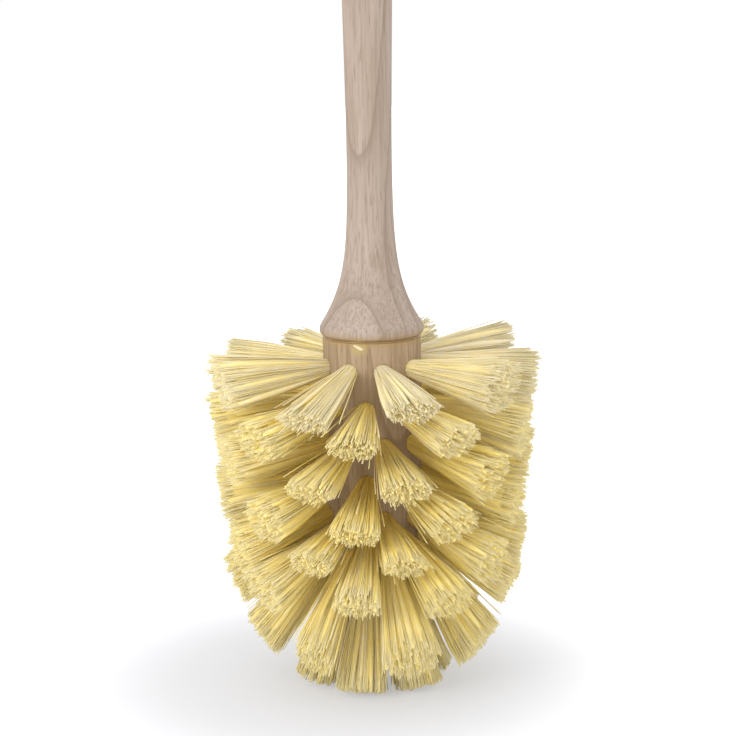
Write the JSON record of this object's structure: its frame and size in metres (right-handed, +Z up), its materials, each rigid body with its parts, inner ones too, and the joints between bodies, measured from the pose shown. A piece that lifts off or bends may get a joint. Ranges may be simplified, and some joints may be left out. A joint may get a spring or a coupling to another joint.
{
  "type": "toilet brush",
  "caption": "Upright wooden toilet brush: a slim turned handle flares to a collar over a drilled wooden core set with rings of fanned plant-fibre tufts, trimmed to a rounded bell outline.",
  "frame": {"origin": "the point on the ground under the brush's axis, with the brush standing upright on its trimmed bristle ends", "axes": "+Z up along the brush's axis through the handle; -Y toward the viewer of the picture; +X to its right"},
  "size_m": [0.1102, 0.1107, 0.3793],
  "materials": {
    "handle_beech": "matte",
    "core_beech": "matte",
    "fibre": "satin"
  },
  "bodies": {
    "root": {"brush_core": "core_beech", "handle": "handle_beech", "tuft_ring1_1": "fibre", "tuft_ring1_2": "fibre", "tuft_ring1_3": "fibre", "tuft_ring1_4": "fibre", "tuft_ring1_5": "fibre", "tuft_ring1_6": "fibre", "tuft_ring1_7": "fibre", "tuft_ring1_8": "fibre", "tuft_ring1_9": "fibre", "tuft_ring2_1": "fibre", "tuft_ring2_2": "fibre", "tuft_ring2_3": "fibre", "tuft_ring2_4": "fibre", "tuft_ring2_5": "fibre", "tuft_ring2_6": "fibre", "tuft_ring2_7": "fibre", "tuft_ring2_8": "fibre", "tuft_ring2_9": "fibre", "tuft_ring3_1": "fibre", "tuft_ring3_2": "fibre", "tuft_ring3_3": "fibre", "tuft_ring3_4": "fibre", "tuft_ring3_5": "fibre", "tuft_ring3_6": "fibre", "tuft_ring3_7": "fibre", "tuft_ring3_8": "fibre", "tuft_ring3_9": "fibre", "tuft_ring4_1": "fibre", "tuft_ring4_2": "fibre", "tuft_ring4_3": "fibre", "tuft_ring4_4": "fibre", "tuft_ring4_5": "fibre", "tuft_ring4_6": "fibre", "tuft_ring4_7": "fibre", "tuft_ring4_8": "fibre", "tuft_ring4_9": "fibre", "tuft_ring5_1": "fibre", "tuft_ring5_2": "fibre", "tuft_ring5_3": "fibre", "tuft_ring5_4": "fibre", "tuft_ring5_5": "fibre", "tuft_ring5_6": "fibre", "tuft_ring5_7": "fibre", "tuft_ring5_8": "fibre", "tuft_ring5_9": "fibre", "tuft_ring6_1": "fibre", "tuft_ring6_2": "fibre", "tuft_ring6_3": "fibre", "tuft_ring6_4": "fibre", "tuft_ring6_5": "fibre", "tuft_ring6_6": "fibre", "tuft_ring6_7": "fibre", "tuft_tip_1": "fibre", "tuft_tip_2": "fibre", "tuft_tip_3": "fibre", "tuft_tip_4": "fibre", "tuft_tip_5": "fibre", "tuft_tip_6": "fibre"}
  },
  "joints": []
}
